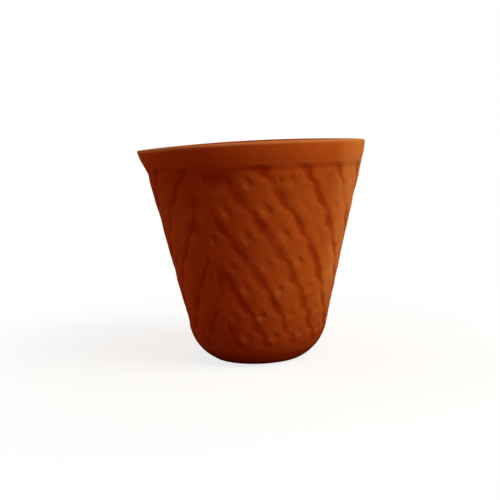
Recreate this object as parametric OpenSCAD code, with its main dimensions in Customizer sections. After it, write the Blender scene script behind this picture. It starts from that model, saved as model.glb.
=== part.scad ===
// Clay kulhad: a small tea cup with a plain rim band over a wall pressed with slanted bands.
// The front seam of the wall lies at -Y, the table is at z = 0 and the cup's axis is Z.

/* [Cup] */
// Outside diameter of the mouth at its widest
mouth_d = 80; // [72:1:100]
// Height from the table to the top of the lip
cup_h = 76; // [66:1:94]
// Thickness of the wall, square to its face
wall_t = 4.2; // [3.6:0.1:5.4]
// Lean of the wall away from upright, in degrees
wall_lean = 13; // [10:0.5:15]
// Height where the wall starts to round in above the foot
heel_h = 11; // [9:0.5:13]
// Radius of the rounded heel
heel_r = 16.4; // [14.5:0.1:19]

/* [Foot and floor] */
// Height of the bevelled foot, from the table to the crease
foot_h = 4.4; // [3:0.1:5.5]
// Lean of the foot's bevel away from upright, in degrees
foot_lean = 46; // [25:1:55]
// Height of the floor inside the cup above the table
floor_h = 7.5; // [6.5:0.1:9.5]

/* [Rim band] */
// Height of the plain band, from its lower edge to the top of the lip
band_h = 7.2; // [6.2:0.1:10]
// Lean of the band's outer face away from upright, in degrees
band_lean = 17; // [13:0.5:20]
// How far the band's lower edge stands out over the wall
band_step = 0.5; // [0.3:0.1:1]
// Radius of the outer edge of the lip
lip_outer_r = 1.2; // [0.8:0.1:1.5]
// Radius of the inner edge of the lip
lip_inner_r = 2; // [1.2:0.1:2.4]
// Height of the tongue on the wall that the band hooks over
tongue_h = 3.6; // [2.4:0.1:4]
// Thickness of that tongue
tongue_t = 2; // [1.5:0.1:2.4]

/* [Pressed bands] */
// Number of slanted bands round the cup, half of them on each panel
band_count = 16; // [12:2:20]
// Drop from one groove to the next along a seam
groove_rise = 18; // [15:0.5:22]
// Drop from the rim band to the first meeting of two grooves on the front seam
meet_drop = 10.9; // [4:0.1:14]
// Width of a groove at the face of the wall
groove_w = 3; // [2:0.1:4]
// Depth of a groove
groove_depth = 1.1; // [0.6:0.1:1.4]
// Height over which a groove runs out above the heel
fade_h = 4; // [2:0.5:8]
// Drop from the rim band to the first row of pits
pit_drop = 3.1; // [2.8:0.1:6]
// Length of a pit, measured up the wall
pit_l = 5.4; // [3:0.1:7]
// Width of a pit round the wall
pit_w = 3.6; // [2:0.1:4.5]
// Depth of a pit
pit_depth = 1.2; // [0.6:0.1:1.5]

/* [Fit] */
// Room for slip between curved faces that are luted together
slip_gap = 0.2; // [0.1:0.05:0.3]

/* [Hidden] */
// Overrun of every cutting shape past the face that it cuts
overrun = 0.6;
// Height between two rings of a groove's cutting shape
ring_step = 2.25;
// Share of a groove's width that its edges swing in and out by
notch_share = 0.2;
// Turn between two points of a rounded outline, in degrees
arc_turn = 6;
// Colour of the fired clay
clay = [0.62, 0.27, 0.10];

band_z = cup_h - band_h;
lip_outer_c = [mouth_d / 2 - lip_outer_r, cup_h - lip_outer_r];
lip_outer_end = lip_outer_c + lip_outer_r * [cos(band_lean), -sin(band_lean)];
band_low_r = lip_outer_end[0] - tan(band_lean) * (lip_outer_end[1] - band_z);
shoulder_r = band_low_r - band_step;
tongue_z = band_z + tongue_h;
lip_inner_c = [inner_r(cup_h - lip_inner_r) + lip_inner_r / cos(wall_lean), cup_h - lip_inner_r];

heel_c = [outer_r(heel_h) - heel_r * cos(wall_lean), heel_h + heel_r * sin(wall_lean)];
heel_in_r = heel_r - wall_t;
crease_angle = asin((foot_h - heel_c[1]) / heel_r);
floor_angle = asin((floor_h - heel_c[1]) / heel_in_r);
crease_r = heel_c[0] + heel_r * cos(crease_angle);
floor_r = heel_c[0] + heel_in_r * cos(floor_angle);
foot_r = crease_r - foot_h * tan(foot_lean);

band_angle = 360 / band_count;
slant = band_angle / groove_rise;
meet_z = band_z - meet_drop;
row_step = groove_rise / 2;
pit_rows = floor((band_z - pit_drop - heel_h - pit_l / 2) / row_step);
first_groove = floor((heel_h - meet_z) / groove_rise);
last_groove = ceil(180 / band_angle + meet_drop / groove_rise);
// Angle past a seam where a groove's cutting shape ends
past_seam = span_angle(groove_w, meet_z);

// Radius of the wall's outer face, and of its inner face, at a height on the straight of the wall
function outer_r(z) = shoulder_r - tan(wall_lean) * (band_z - z);
function inner_r(z) = outer_r(z) - wall_t / cos(wall_lean);

// Points of an arc about a centre, from one angle to another
function arc(centre, radius, from, to) =
    let (steps = ceil(abs(to - from) / arc_turn))
    [for (i = [0:steps])
        let (angle = from + (to - from) * i / steps)
        centre + radius * [cos(angle), sin(angle)]];

// Point at a radius, at an angle from the front seam towards +X, at a height
function around(r, angle, z) = [r * sin(angle), -r * cos(angle), z];

// Angle of a groove at a height, and height where it comes to an angle. Half numbers lie mid band.
function groove_angle(k, z) = k * band_angle + (meet_z - z) * slant;
function groove_z(k, angle) = meet_z - (angle - k * band_angle) / slant;

// Angle that a length round the wall spans at a height
function span_angle(length, z) = length / outer_r(z) * 180 / PI;

// Half section of the wall: turned in at the heel, bored for the base slab, with the tongue on top
module wall_section() {
    polygon(concat(
        [[floor_r + slip_gap, foot_h]],
        arc(heel_c, heel_r, crease_angle, -wall_lean),
        [
            [shoulder_r, band_z],
            [inner_r(band_z) + tongue_t, band_z],
            [inner_r(tongue_z) + tongue_t, tongue_z],
            [inner_r(tongue_z), tongue_z]
        ],
        arc(heel_c, heel_in_r, -wall_lean, floor_angle),
        [[floor_r + slip_gap, floor_h]]
    ));
}

// Cutting shape of one groove: a wedge that follows the slant and runs out towards the heel
module groove_cutter(k) {
    high = min(band_z + overrun, groove_z(k, -past_seam));
    low = max(heel_h, groove_z(k, 180 + past_seam));
    steps = ceil((high - low) / ring_step);
    over_share = (groove_depth + overrun) / groove_depth;
    rings = [for (i = [0:steps])
        let (z = high + (low - high) * i / steps)
        let (sunk = min(groove_depth, (groove_depth + overrun) * (z - heel_h) / fade_h - overrun))
        let (swing = 1 + notch_share * cos(360 * (z - meet_z) / row_step))
        let (half = span_angle(groove_w / 2, z) * over_share * swing)
        let (middle = groove_angle(k, z))
        let (bottom = outer_r(z) - sunk)
        let (face = bottom + groove_depth + overrun)
        [around(bottom, middle, z), around(face, middle - half, z), around(face, middle + half, z)]];
    points = [for (ring = rings) each ring];
    sides = [for (i = [0:steps - 1], j = [0:2])
        let (a = 3 * i + j)
        let (b = 3 * i + (j + 1) % 3)
        each [[a, b, b + 3], [a, b + 3, a + 3]]];
    last = 3 * steps;
    polyhedron(points, concat([[2, 1, 0]], sides, [[last, last + 1, last + 2]]));
}

// Cutting shape of one pit: a pyramid that leans along its band
module pit_cutter(angle, z) {
    over_share = (pit_depth + overrun) / pit_depth;
    lift = pit_l / 2 * over_share;
    turn = span_angle(pit_w / 2, z) * over_share;
    points = [
        around(outer_r(z) - pit_depth, angle, z),
        around(outer_r(z + lift) + overrun, angle - lift * slant, z + lift),
        around(outer_r(z) + overrun, angle + turn, z),
        around(outer_r(z - lift) + overrun, angle + lift * slant, z - lift),
        around(outer_r(z) + overrun, angle - turn, z)
    ];
    polyhedron(points, [[0, 2, 1], [0, 3, 2], [0, 4, 3], [0, 1, 4], [1, 2, 3], [1, 3, 4]]);
}

// Half of the wall on the +X side of the seams, with its bands pressed in
module wall_panel() {
    difference() {
        rotate([0, 0, -90]) rotate_extrude(angle = 180) wall_section();
        for (k = [first_groove:last_groove]) {
            if (groove_z(k, 180 + past_seam) < band_z && groove_z(k, -past_seam) > heel_h + fade_h) {
                groove_cutter(k);
            }
        }
        for (row = [0:pit_rows], k = [first_groove:last_groove]) {
            z = band_z - pit_drop - row * row_step;
            angle = groove_angle(k + 1 / 2, z);
            reach = span_angle(pit_w / 2, z);
            if (angle > -reach && angle < 180 + reach) {
                pit_cutter(angle, z);
            }
        }
    }
}

module base_slab() {
    color(clay)
    rotate_extrude() polygon([
        [0, 0],
        [foot_r, 0],
        [crease_r, foot_h],
        [floor_r, foot_h],
        [floor_r, floor_h],
        [0, floor_h]
    ]);
}

module wall_panel_right() {
    color(clay) wall_panel();
}

module wall_panel_left() {
    color(clay) mirror([1, 0, 0]) wall_panel();
}

module rim_band() {
    hook_z = tongue_z + slip_gap;
    hook_t = tongue_t + slip_gap;
    color(clay)
    rotate_extrude() polygon(concat(
        [[band_low_r, band_z]],
        arc(lip_outer_c, lip_outer_r, -band_lean, 90),
        arc(lip_inner_c, lip_inner_r, 90, 180 - wall_lean),
        [
            [inner_r(hook_z), hook_z],
            [inner_r(hook_z) + hook_t, hook_z],
            [inner_r(band_z) + hook_t, band_z]
        ]
    ));
}

base_slab();
wall_panel_right();
wall_panel_left();
rim_band();
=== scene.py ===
"""Looks of a kiln-baked clay tea cup: its pieces, their finish, the studio and the camera."""

import logging
import math
from abc import ABC, abstractmethod
from collections.abc import Sequence
from dataclasses import dataclass, field, fields
from enum import Enum
from typing import Any

import bpy
import numpy as np
from mathutils import Matrix, Vector


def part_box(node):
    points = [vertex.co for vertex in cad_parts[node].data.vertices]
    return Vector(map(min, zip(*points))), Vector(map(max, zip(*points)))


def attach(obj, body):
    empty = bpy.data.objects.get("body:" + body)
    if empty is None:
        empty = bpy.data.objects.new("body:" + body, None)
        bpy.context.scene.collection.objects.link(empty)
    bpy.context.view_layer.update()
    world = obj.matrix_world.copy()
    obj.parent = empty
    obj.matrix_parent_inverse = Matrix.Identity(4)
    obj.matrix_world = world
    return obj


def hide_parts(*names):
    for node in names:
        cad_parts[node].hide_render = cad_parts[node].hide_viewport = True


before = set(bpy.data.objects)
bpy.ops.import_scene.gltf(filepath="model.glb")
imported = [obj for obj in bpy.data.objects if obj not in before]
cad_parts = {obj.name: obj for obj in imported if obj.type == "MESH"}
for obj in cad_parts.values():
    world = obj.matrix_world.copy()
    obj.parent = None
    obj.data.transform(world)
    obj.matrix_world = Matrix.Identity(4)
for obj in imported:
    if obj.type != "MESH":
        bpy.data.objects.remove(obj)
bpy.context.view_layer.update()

MM = 0.001
# Gap within which points are merged
WELD = 0.001 * MM
BODY = "root"
# Turn of the camera about the cup, from the front seam towards +X
VIEW_TURN = math.radians(28.5)
# Mesh attributes the finish reads: painted shade above 0, painted highlight below 0, the inside
PAINTED_SHADE_AND_HIGHLIGHT_MARK = "shade"
INSIDE_MARK = "inside"

Point = tuple[float, float]
Section = list[Point]
Colour = tuple[float, float, float]
# One value for each vertex of a piece, and a length that may be one of these
Values = np.ndarray
Length = float | Values

WHITE: Colour = (1.0, 1.0, 1.0)

log = logging.getLogger("cup")


# Outlines

def run(start: Point, end: Point, step: float) -> Section:
    """Splits a straight run into even steps.

    Args:
        start: First point, as radius and height. It is left out of the result.
        end: Last point, which is kept.
        step: Longest step between two points.

    Returns:
        The points after the start.
    """
    length = math.dist(start, end)
    count = max(1, math.ceil(length / step))
    return [(start[0] + (end[0] - start[0]) * i / count, start[1] + (end[1] - start[1]) * i / count)
            for i in range(1, count + 1)]


def arc(centre: Point, radius: float, start: float, end: float, step: float) -> Section:
    """Lays even points along an arc.

    Args:
        centre: Centre of the arc, as radius and height.
        radius: Radius of the arc.
        start: First angle, from level outwards.
        end: Last angle.
        step: Longest step between two points.

    Returns:
        The points from the first angle to the last, both kept.
    """
    count = max(1, math.ceil(abs(end - start) * radius / step))
    angles = [start + (end - start) * i / count for i in range(count + 1)]
    return [(centre[0] + radius * math.cos(a), centre[1] + radius * math.sin(a)) for a in angles]


def bulged(line: Section, height: float, way: float) -> Section:
    """Bulges a straight run, most at its middle.

    Args:
        line: Points of the run after its start, as radius and height.
        height: Height of the bulge.
        way: Angle that it bulges towards, from level outwards.

    Returns:
        The moved points.
    """
    bulges = [height * math.sin(math.pi * (i + 1) / len(line)) for i in range(len(line))]
    return [(r + b * math.cos(way), z + b * math.sin(way)) for (r, z), b in zip(line, bulges)]


# Shares

def ease(low: float, high: float, value: Length) -> Values:
    """Goes smoothly from 0 to 1 as a value goes from low to high."""
    share = np.clip((value - low) / (high - low), 0.0, 1.0)
    return share * share * (3.0 - 2.0 * share)


def swell(wave: Values) -> Values:
    """Turns a wave between -1 and 1 into a share from 0 to 1."""
    return 0.5 + 0.5 * wave


def oval(over: Values, up: Values, half_w: Length, half_h: Length) -> Values:
    """Square of the distance from the middle of an oval, 1 on its outline."""
    return (over / half_w) ** 2 + (up / half_h) ** 2


# Sizes

@dataclass(frozen=True)
class CupSizes:
    """Shared sizes, in metres and radians; those without a value come from the frame."""

    mouth_r: float
    height: float
    band_z: float
    tongue_z: float
    shoulder_r: float
    crease_z: float
    crease_r: float
    floor_z: float
    wall_t: float = 4.2 * MM
    wall_lean: float = math.radians(13)
    band_lean: float = math.radians(17)
    foot_lean: float = math.radians(50.5)
    heel_z: float = 11 * MM
    heel_r: float = 16.4 * MM
    tongue_t: float = 2 * MM
    floor_fillet: float = 6 * MM

    @classmethod
    def from_frame(cls) -> "CupSizes":
        """Reads the boxes of the CAD nodes.

        Returns:
            The cup's sizes.
        """
        rim_low, rim_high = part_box("rim_band")
        wall_low, wall_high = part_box("wall_panel_right")
        slab_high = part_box("base_slab")[1]
        return cls(
            mouth_r=rim_high.x, height=rim_high.z, band_z=rim_low.z, tongue_z=wall_high.z,
            shoulder_r=wall_high.x, crease_z=wall_low.z, crease_r=slab_high.x, floor_z=slab_high.z)

    def outer_r(self, z: Length) -> Length:
        """Radius of the wall's outer face at a height on its straight."""
        return self.shoulder_r - math.tan(self.wall_lean) * (self.band_z - z)

    def inner_r(self, z: Length) -> Length:
        """Radius of the wall's inner face at a height on its straight."""
        return self.outer_r(z) - self.wall_t / math.cos(self.wall_lean)

    def face_r(self, z: Values) -> Values:
        """Radius of the wall's plain outer face, on its straight and round the heel.

        Args:
            z: Height above the table.

        Returns:
            Radius at each height.
        """
        drop = z - self.heel_centre[1]
        heel = np.sqrt(np.maximum(self.heel_r ** 2 - drop ** 2, 0.0)) + self.heel_centre[0]
        return np.where(z > self.heel_z, self.outer_r(z), heel)

    @property
    def heel_centre(self) -> Point:
        """Centre of the rounded heel."""
        return (self.outer_r(self.heel_z) - self.heel_r * math.cos(self.wall_lean),
                self.heel_z + self.heel_r * math.sin(self.wall_lean))

    @property
    def heel_inner_r(self) -> float:
        """Radius of the heel's inner face."""
        return self.heel_r - self.wall_t

    @property
    def crease_angle(self) -> float:
        """Angle on the heel's arc where the crease lies."""
        return math.asin((self.crease_z - self.heel_centre[1]) / self.heel_r)

    @property
    def foot_r(self) -> float:
        """Radius of the face that the cup stands on."""
        return self.crease_r - self.crease_z * math.tan(self.foot_lean)

    @property
    def bore_r(self) -> float:
        """Radius where the wall closes on the slab."""
        drop = self.heel_centre[1] - self.floor_z
        return self.heel_centre[0] + math.sqrt(self.heel_inner_r ** 2 - drop ** 2)

    @property
    def fillet_centre(self) -> Point:
        """Centre of the fillet that rounds the floor up into the wall.

        Returns:
            Radius and height of the centre.
        """
        z = self.floor_z + self.floor_fillet
        reach = self.heel_inner_r - self.floor_fillet
        return (self.heel_centre[0] + math.sqrt(reach ** 2 - (self.heel_centre[1] - z) ** 2), z)

    @property
    def fillet_top(self) -> float:
        """Angle on the fillet where it runs into the inner heel."""
        return math.atan2(self.fillet_centre[1] - self.heel_centre[1],
                          self.fillet_centre[0] - self.heel_centre[0])

    @property
    def fillet_bore(self) -> float:
        """Angle on the fillet at the bore."""
        return -math.acos((self.bore_r - self.fillet_centre[0]) / self.floor_fillet)


# Marks of the hand and the press

@dataclass(frozen=True)
class HandMarks:
    """Slow unevenness and turning marks that run on from piece to piece."""

    uneven: float = 0.2 * MM
    seed: int = 11
    waves: int = 9
    most_turns: int = 8
    most_climb: float = 260.0
    crowding: float = 1.6
    ring_depth: float = 0.16 * MM
    ring_step: float = 4.4 * MM
    drift: float = 0.6
    drift_turns: int = 2
    drift_climb: float = 90.0
    floor_gain: float = 1.4

    def unevenness(self, angle: Values, z: Values) -> Values:
        """Depth of the slow unevenness of hand-made clay.

        Args:
            angle: Angle round the cup from the front seam.
            z: Height above the table.

        Returns:
            Depths, in metres, from 0 to the named unevenness.
        """
        draw = np.random.default_rng(self.seed)
        total = np.zeros_like(angle)
        for _ in range(self.waves):
            turns = int(draw.integers(1, self.most_turns + 1))
            climb = draw.uniform(-self.most_climb, self.most_climb)
            total += np.cos(turns * angle + climb * z + draw.uniform(0.0, math.tau))
        return self.uneven * swell(np.clip(total / self.waves * self.crowding, -1.0, 1.0))

    def rings(self, angle: Values, z: Values) -> Values:
        """Depth of the spiral that the potter's finger leaves inside.

        Args:
            angle: Angle round the cup from the front seam.
            z: Height above the table.

        Returns:
            Depths, in metres.
        """
        phase = math.tau * z / self.ring_step + angle
        drift = self.drift * np.sin(self.drift_turns * angle + self.drift_climb * z)
        return self.ring_depth * swell(np.cos(phase + drift))

    def swirl(self, angle: Values, r: Values) -> Values:
        """Depth of the same spiral where it runs across the floor."""
        phase = math.tau * r / self.ring_step + angle
        return self.ring_depth * self.floor_gain * swell(np.cos(phase))


@dataclass(frozen=True)
class Smear:
    """A soft dent that a thumb left where the halves were smoothed together, with painted shade."""

    angle: float
    z: float
    half_w: float
    half_h: float
    depth: float
    shade: float

    def share(self, angle: Values, z: Values, r: Values) -> Values:
        """Share of the dent at each point, 1 at its middle."""
        return np.exp(-oval((angle - self.angle) * r, z - self.z, self.half_w, self.half_h))


@dataclass(frozen=True)
class Chance:
    """Chance values between -1 and 1, one for each band and row, so that no two marks are alike."""

    table: Values

    def at(self, band: Values, row: Values) -> Values:
        """Value of each band and row."""
        bands, rows = self.table.shape
        return self.table[band % bands, row % rows]

    def along(self, band: Values, row: Values) -> Values:
        """Value that goes smoothly from row to row.

        Args:
            band: Number of the band.
            row: Place between the rows.

        Returns:
            Values between -1 and 1.
        """
        low = np.floor(row).astype(int)
        first = self.at(band, low)
        return first + (self.at(band, low + 1) - first) * ease(0.0, 1.0, row - low)


@dataclass(frozen=True)
class Chances:
    """Chance tables of one half, in the order in which they are drawn."""

    bend: Chance
    jog: Chance
    strength: Chance
    ripple: Chance
    fray: Chance
    flank: Chance
    length: Chance
    force: Chance

    @classmethod
    def drawn(cls, seed: int, bands: int, rows: int) -> "Chances":
        """Draws every table.

        Args:
            seed: Start of the draws.
            bands: Bands in each table.
            rows: Rows in each table.

        Returns:
            The tables.
        """
        draw = np.random.default_rng(seed)
        return cls(*(Chance(draw.uniform(-1.0, 1.0, (bands, rows))) for _ in fields(cls)))


@dataclass(frozen=True)
class PatternPlaces:
    """Where each vertex of a wall's face lies in the pressed pattern."""

    # Grooves counted from the front seam, with the bands between whole numbers
    place: Values
    # Rows of pits counted up the wall, and the height of one
    row: Values
    row_step: float
    # Lean of the grooves away from upright, and width of a band square to them
    lean: Values
    band_w: Values
    # Angle from the front seam, taken back low on the wall, and share of the far side
    early: Values
    far: Values


@dataclass(frozen=True)
class Grooves:
    """Slanted grooves with one steep and one gentle flank, uneven edges and painted shade."""

    depth: float = 0.32 * MM
    offset: float = -0.9 * MM
    steep_side: float = 1.0
    steep_w: float = 1.15 * MM
    gentle_w: float = 2.2 * MM
    shade_w: float = 1.25 * MM
    shade_edge: float = 2.6
    # Swing of a groove from side to side: a saw wave, a slow bend and a quick ripple
    swing: float = 0.27 * MM
    jog: float = 0.15
    second_wave: float = 0.7
    bend_pace: float = 1.4
    ripple_pace: float = 4.2
    # Width and strength, which swell once in each row
    swell_at: float = 0.33
    swell_pace: float = 1.3
    width_swell: float = 0.18
    width_chance: float = 0.18
    fray: float = 0.2
    fray_pace: float = 4.7
    strength: float = 0.85
    strength_swell: float = 0.24
    strength_chance: float = 0.32
    faintest: float = 0.6
    # Change on the far side
    far_gain: float = 1.2
    far_shade: float = -0.15

    def press(self, at: PatternPlaces, chances: Chances) -> tuple[Values, Values]:
        """Works out the marks of the grooves.

        Args:
            at: Where the vertices lie in the pattern.
            chances: Chance tables of this half.

        Returns:
            Depth in metres, and painted shade, 1 in the middle of a groove.
        """
        groove = np.round(at.place).astype(int)
        turn = math.tau * (at.row - self.jog * chances.jog.along(groove, at.row))
        wave = -np.sin(turn) - self.second_wave * np.sin(2 * turn)
        wave = wave + chances.bend.along(groove, self.bend_pace * at.row)
        wave = wave + chances.ripple.along(groove, self.ripple_pace * at.row)
        off = (at.place - groove) * at.band_w - (self.offset + self.swing * wave)
        off = off * self.steep_side

        swelling = np.cos(math.tau * (at.row - self.swell_at))
        spread = 1.0 + self.width_swell * swelling
        spread = spread + self.width_chance * chances.jog.along(groove, self.swell_pace * at.row)
        spread = spread + self.fray * chances.fray.along(groove, self.fray_pace * at.row)
        luck = chances.strength.along(groove, self.swell_pace * at.row)
        strength = self.strength + self.strength_swell * swelling + self.strength_chance * luck
        strength = np.maximum(strength, self.faintest)

        reach = np.abs(off) / np.where(off > 0.0, spread * self.steep_w, self.gentle_w)
        depth = self.depth * strength * (1.0 + self.far_gain * at.far) * np.exp(-reach ** 2)
        # Painted shade along the hollow of the groove
        shade = np.exp(-np.abs(off / (spread * self.shade_w)) ** self.shade_edge)
        return depth, shade * np.minimum(strength, 1.0) * (1.0 + self.far_shade * at.far)


@dataclass(frozen=True)
class Pits:
    """Pits in the middle of the bands, each with a raised burr and a painted highlight beside it.
    """

    depth: float = 0.44 * MM
    offset: float = -1.1 * MM
    left_w: float = 2.4 * MM
    right_w: float = 0.9 * MM
    half_l: float = 1.7 * MM
    edge: float = 1.15
    stray_up: float = 0.7 * MM
    stray_over: float = 0.5 * MM
    width_chance: float = 0.25
    length_chance: float = 0.35
    # Force of the press, which weakens away from the front seam
    force: float = 1.0
    plain_force: float = 0.85
    force_chance: float = 0.35
    front_gain: float = 1.1
    weakening: float = 0.5
    weak_from: float = math.radians(40)
    weak_to: float = math.radians(66)
    far_gain: float = 0.15
    burr_over: float = -2.3 * MM
    burr_half_w: float = 1.1 * MM
    burr_half_l: float = 3.2 * MM
    burr_height: float = 0.13 * MM
    rubbed: float = 0.4
    rubbed_most: float = 0.3
    rubbed_over: float = -2 * MM
    rubbed_down: float = 0.7 * MM
    rubbed_half_w: float = 1.0 * MM
    rubbed_half_l: float = 3.4 * MM
    rubbed_to: float = math.radians(36)
    rubbed_end: float = math.radians(56)

    def press(self, at: PatternPlaces, chances: Chances) -> tuple[Values, Values]:
        """Works out the marks of the pits.

        Args:
            at: Where the vertices lie in the pattern.
            chances: Chance tables of this half.

        Returns:
            Depth in metres, below zero on the burrs, and share of the painted highlight.
        """
        band = np.floor(at.place).astype(int)
        row = np.round(at.row).astype(int)
        up = (at.row - row) * at.row_step - self.stray_up * chances.fray.at(band, row)
        over = (at.place - band - 0.5) * at.band_w - self.offset
        over = over - self.stray_over * chances.ripple.at(band, row)
        down = (over * np.sin(at.lean) - up) / np.cos(at.lean)
        flank = np.where(over < 0.0, self.left_w, self.right_w)
        flank = flank * (1.0 + self.width_chance * chances.flank.at(band, row))
        half_l = self.half_l * (1.0 + self.length_chance * chances.length.at(band, row))

        force = self.force * (self.plain_force + self.force_chance * chances.force.at(band, row))
        force = force * (1.0 + self.far_gain * at.far)
        weak = ease(self.weak_from, self.weak_to, at.early) * (1.0 - at.far)
        force = force * (self.front_gain - self.weakening * weak)

        pit = self.depth * np.exp(-oval(over, down, flank, half_l) ** self.edge)
        burr = oval(over - self.burr_over, down, self.burr_half_w, self.burr_half_l)
        # Painted highlight on the flank that faces the lamp, fading out away from the front seam
        streak = oval(over - self.rubbed_over, down - self.rubbed_down,
                      self.rubbed_half_w, self.rubbed_half_l)
        rubbed = np.minimum(self.rubbed * force, self.rubbed_most) * np.exp(-streak)
        rubbed = rubbed * (1.0 - ease(self.rubbed_to, self.rubbed_end, at.early))
        return force * (pit - self.burr_height * np.exp(-burr)), rubbed


@dataclass(frozen=True)
class PressedBands:
    """Slanted bands with their grooves and pits, pressed into one half of the wall."""

    seed: int
    rise: float
    meet_z: float
    # Heights, and the angle from the front seam that was smoothed over there
    smoothed: tuple[Point, ...]
    smears: tuple[Smear, ...]
    grooves: Grooves = Grooves()
    pits: Pits = Pits()
    band_angle: float = math.radians(22.5)
    row_step: float = 9 * MM
    pit_z: float = 63.6 * MM
    crown: float = 0.1 * MM
    crown_edge: float = 3.0
    cell_dip: float = 0.06 * MM
    far_from: float = math.radians(92)
    far_over: float = math.radians(32)
    # Low on the wall the rows lie closer, and the marks weaken later
    low_z: float = 20 * MM
    low_over: float = 14 * MM
    low_squeeze: float = 0.25
    low_turn: float = math.radians(30)
    smooth_from: float = 0.45
    front_seam: float = math.radians(2)
    back_seam: float = math.radians(4)
    fade_low: float = 5.4 * MM
    fade_high: float = 9 * MM
    rows: int = 14
    bands: int = 20

    def _places(self, angle: Values, z: Values, r: Values) -> PatternPlaces:
        """Finds where each vertex lies in the pattern.

        Args:
            angle: Angle from the front seam towards this half's side.
            z: Height above the table.
            r: Radius of the plain wall at that height.

        Returns:
            The places.
        """
        slant = self.band_angle / self.rise
        lean = np.arctan(slant * r)
        squeezed = z - self.low_squeeze * np.maximum(self.low_z - z, 0.0)
        low = 1.0 - ease(self.low_z, self.low_z + self.low_over, z)
        return PatternPlaces(
            place=(angle - slant * (self.meet_z - z)) / self.band_angle,
            row=(squeezed - self.pit_z) / self.row_step,
            row_step=self.row_step,
            lean=lean,
            band_w=self.band_angle * r * np.cos(lean),
            early=angle - self.low_turn * low,
            far=ease(self.far_from, self.far_from + self.far_over, angle),
        )

    def _fade(self, angle: Values, z: Values) -> Values:
        """Share of the press that is left near the heel and at the smoothed seams.

        Args:
            angle: Angle from the front seam towards this half's side.
            z: Height above the table.

        Returns:
            Shares from 0 to 1.
        """
        heights, reaches = zip(*self.smoothed)
        front = ease(self.smooth_from, 1.0, angle / np.interp(z, heights, reaches))
        back = ease(0.0, self.back_seam, math.pi - angle)
        return front * back * ease(self.fade_low, self.fade_high, z)

    def depths(self, angle: Values, z: Values, r: Values) -> tuple[Values, Values]:
        """Works out how deep the press goes at each point of the wall's face.

        Args:
            angle: Angle from the front seam towards this half's side.
            z: Height above the table.
            r: Radius of the plain wall at that height.

        Returns:
            Depth in metres, below zero where clay is raised, and painted shade: 1 in a groove,
            below 0 for a painted highlight.
        """
        chances = Chances.drawn(self.seed, self.bands, self.rows)
        at = self._places(angle, z, r)
        depth, shade = self.grooves.press(at, chances)
        pits, rubbed = self.pits.press(at, chances)
        side = at.place - np.floor(at.place) - 0.5
        crown = self.crown * np.abs(2.0 * side) ** self.crown_edge
        dip = self.cell_dip * swell(-np.cos(math.tau * at.row))
        fade = self._fade(angle, z)
        depth = (depth + crown + dip + pits) * fade
        shade = (shade - rubbed) * fade
        seam = ease(0.0, self.front_seam, angle)
        for smear in self.smears:
            share = smear.share(angle, z, r) * seam
            depth = depth + smear.depth * share
            shade = shade * (1.0 - share) + smear.shade * share
        return depth, shade


# Patterns of the two halves, which were pressed one after the other
RIGHT_BANDS = PressedBands(
    seed=23,
    rise=18.75 * MM,
    meet_z=58 * MM,
    smoothed=((10 * MM, 0.07), (16 * MM, 0.1), (30 * MM, 0.2), (38 * MM, 0.16), (48 * MM, 0.1),
              (57 * MM, 0.1), (61 * MM, 0.3), (66 * MM, 0.34)),
    smears=(
        # Shade above 0 is painted shade, and below 0 a painted highlight
        Smear(angle=0.15, z=64.8 * MM, half_w=6.2 * MM, half_h=2.5 * MM, depth=0.35 * MM, shade=1),
        Smear(angle=0.17, z=60.6 * MM, half_w=4.2 * MM, half_h=1.1 * MM, depth=0.0, shade=-0.3),
        Smear(angle=0.09, z=31.5 * MM, half_w=3.2 * MM, half_h=5 * MM, depth=0.3 * MM, shade=0.9),
        Smear(angle=0.06, z=44.9 * MM, half_w=0.9 * MM, half_h=1.2 * MM, depth=0.7 * MM, shade=0.6),
        Smear(angle=0.03, z=44 * MM, half_w=0.9 * MM, half_h=1 * MM, depth=0.0, shade=-0.6),
        Smear(angle=0.72, z=63.6 * MM, half_w=0.9 * MM, half_h=1.2 * MM, depth=0.3 * MM, shade=0.5),
        # Painted shadow just under the band
        Smear(angle=0.5, z=67.8 * MM, half_w=9 * MM, half_h=1.4 * MM, depth=0.08 * MM, shade=0.9),
        Smear(angle=1.1, z=68 * MM, half_w=12 * MM, half_h=1.1 * MM, depth=0.05 * MM, shade=0.55),
        Smear(angle=1.7, z=68 * MM, half_w=12 * MM, half_h=1.1 * MM, depth=0.05 * MM, shade=0.45),
        Smear(angle=1.6, z=61 * MM, half_w=3 * MM, half_h=3.6 * MM, depth=0.0, shade=-0.5),
    ),
)
LEFT_BANDS = PressedBands(
    seed=58,
    rise=17.6 * MM,
    meet_z=57.3 * MM,
    smoothed=((12 * MM, 0.04), (38 * MM, 0.05), (48 * MM, 0.14), (66 * MM, 0.15)),
    smears=(
        # Painted shade beside the front seam
        Smear(angle=0.1, z=48 * MM, half_w=1.6 * MM, half_h=3 * MM, depth=0.2 * MM, shade=0.7),
        Smear(angle=0.1, z=57 * MM, half_w=3 * MM, half_h=3 * MM, depth=0.25 * MM, shade=0.7),
    ),
    grooves=Grooves(depth=0.45 * MM, offset=-0.3 * MM, steep_side=-1.0),
    pits=Pits(force=0.55, far_gain=0.8),
    far_from=math.radians(48),
)


# Modelling

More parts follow.
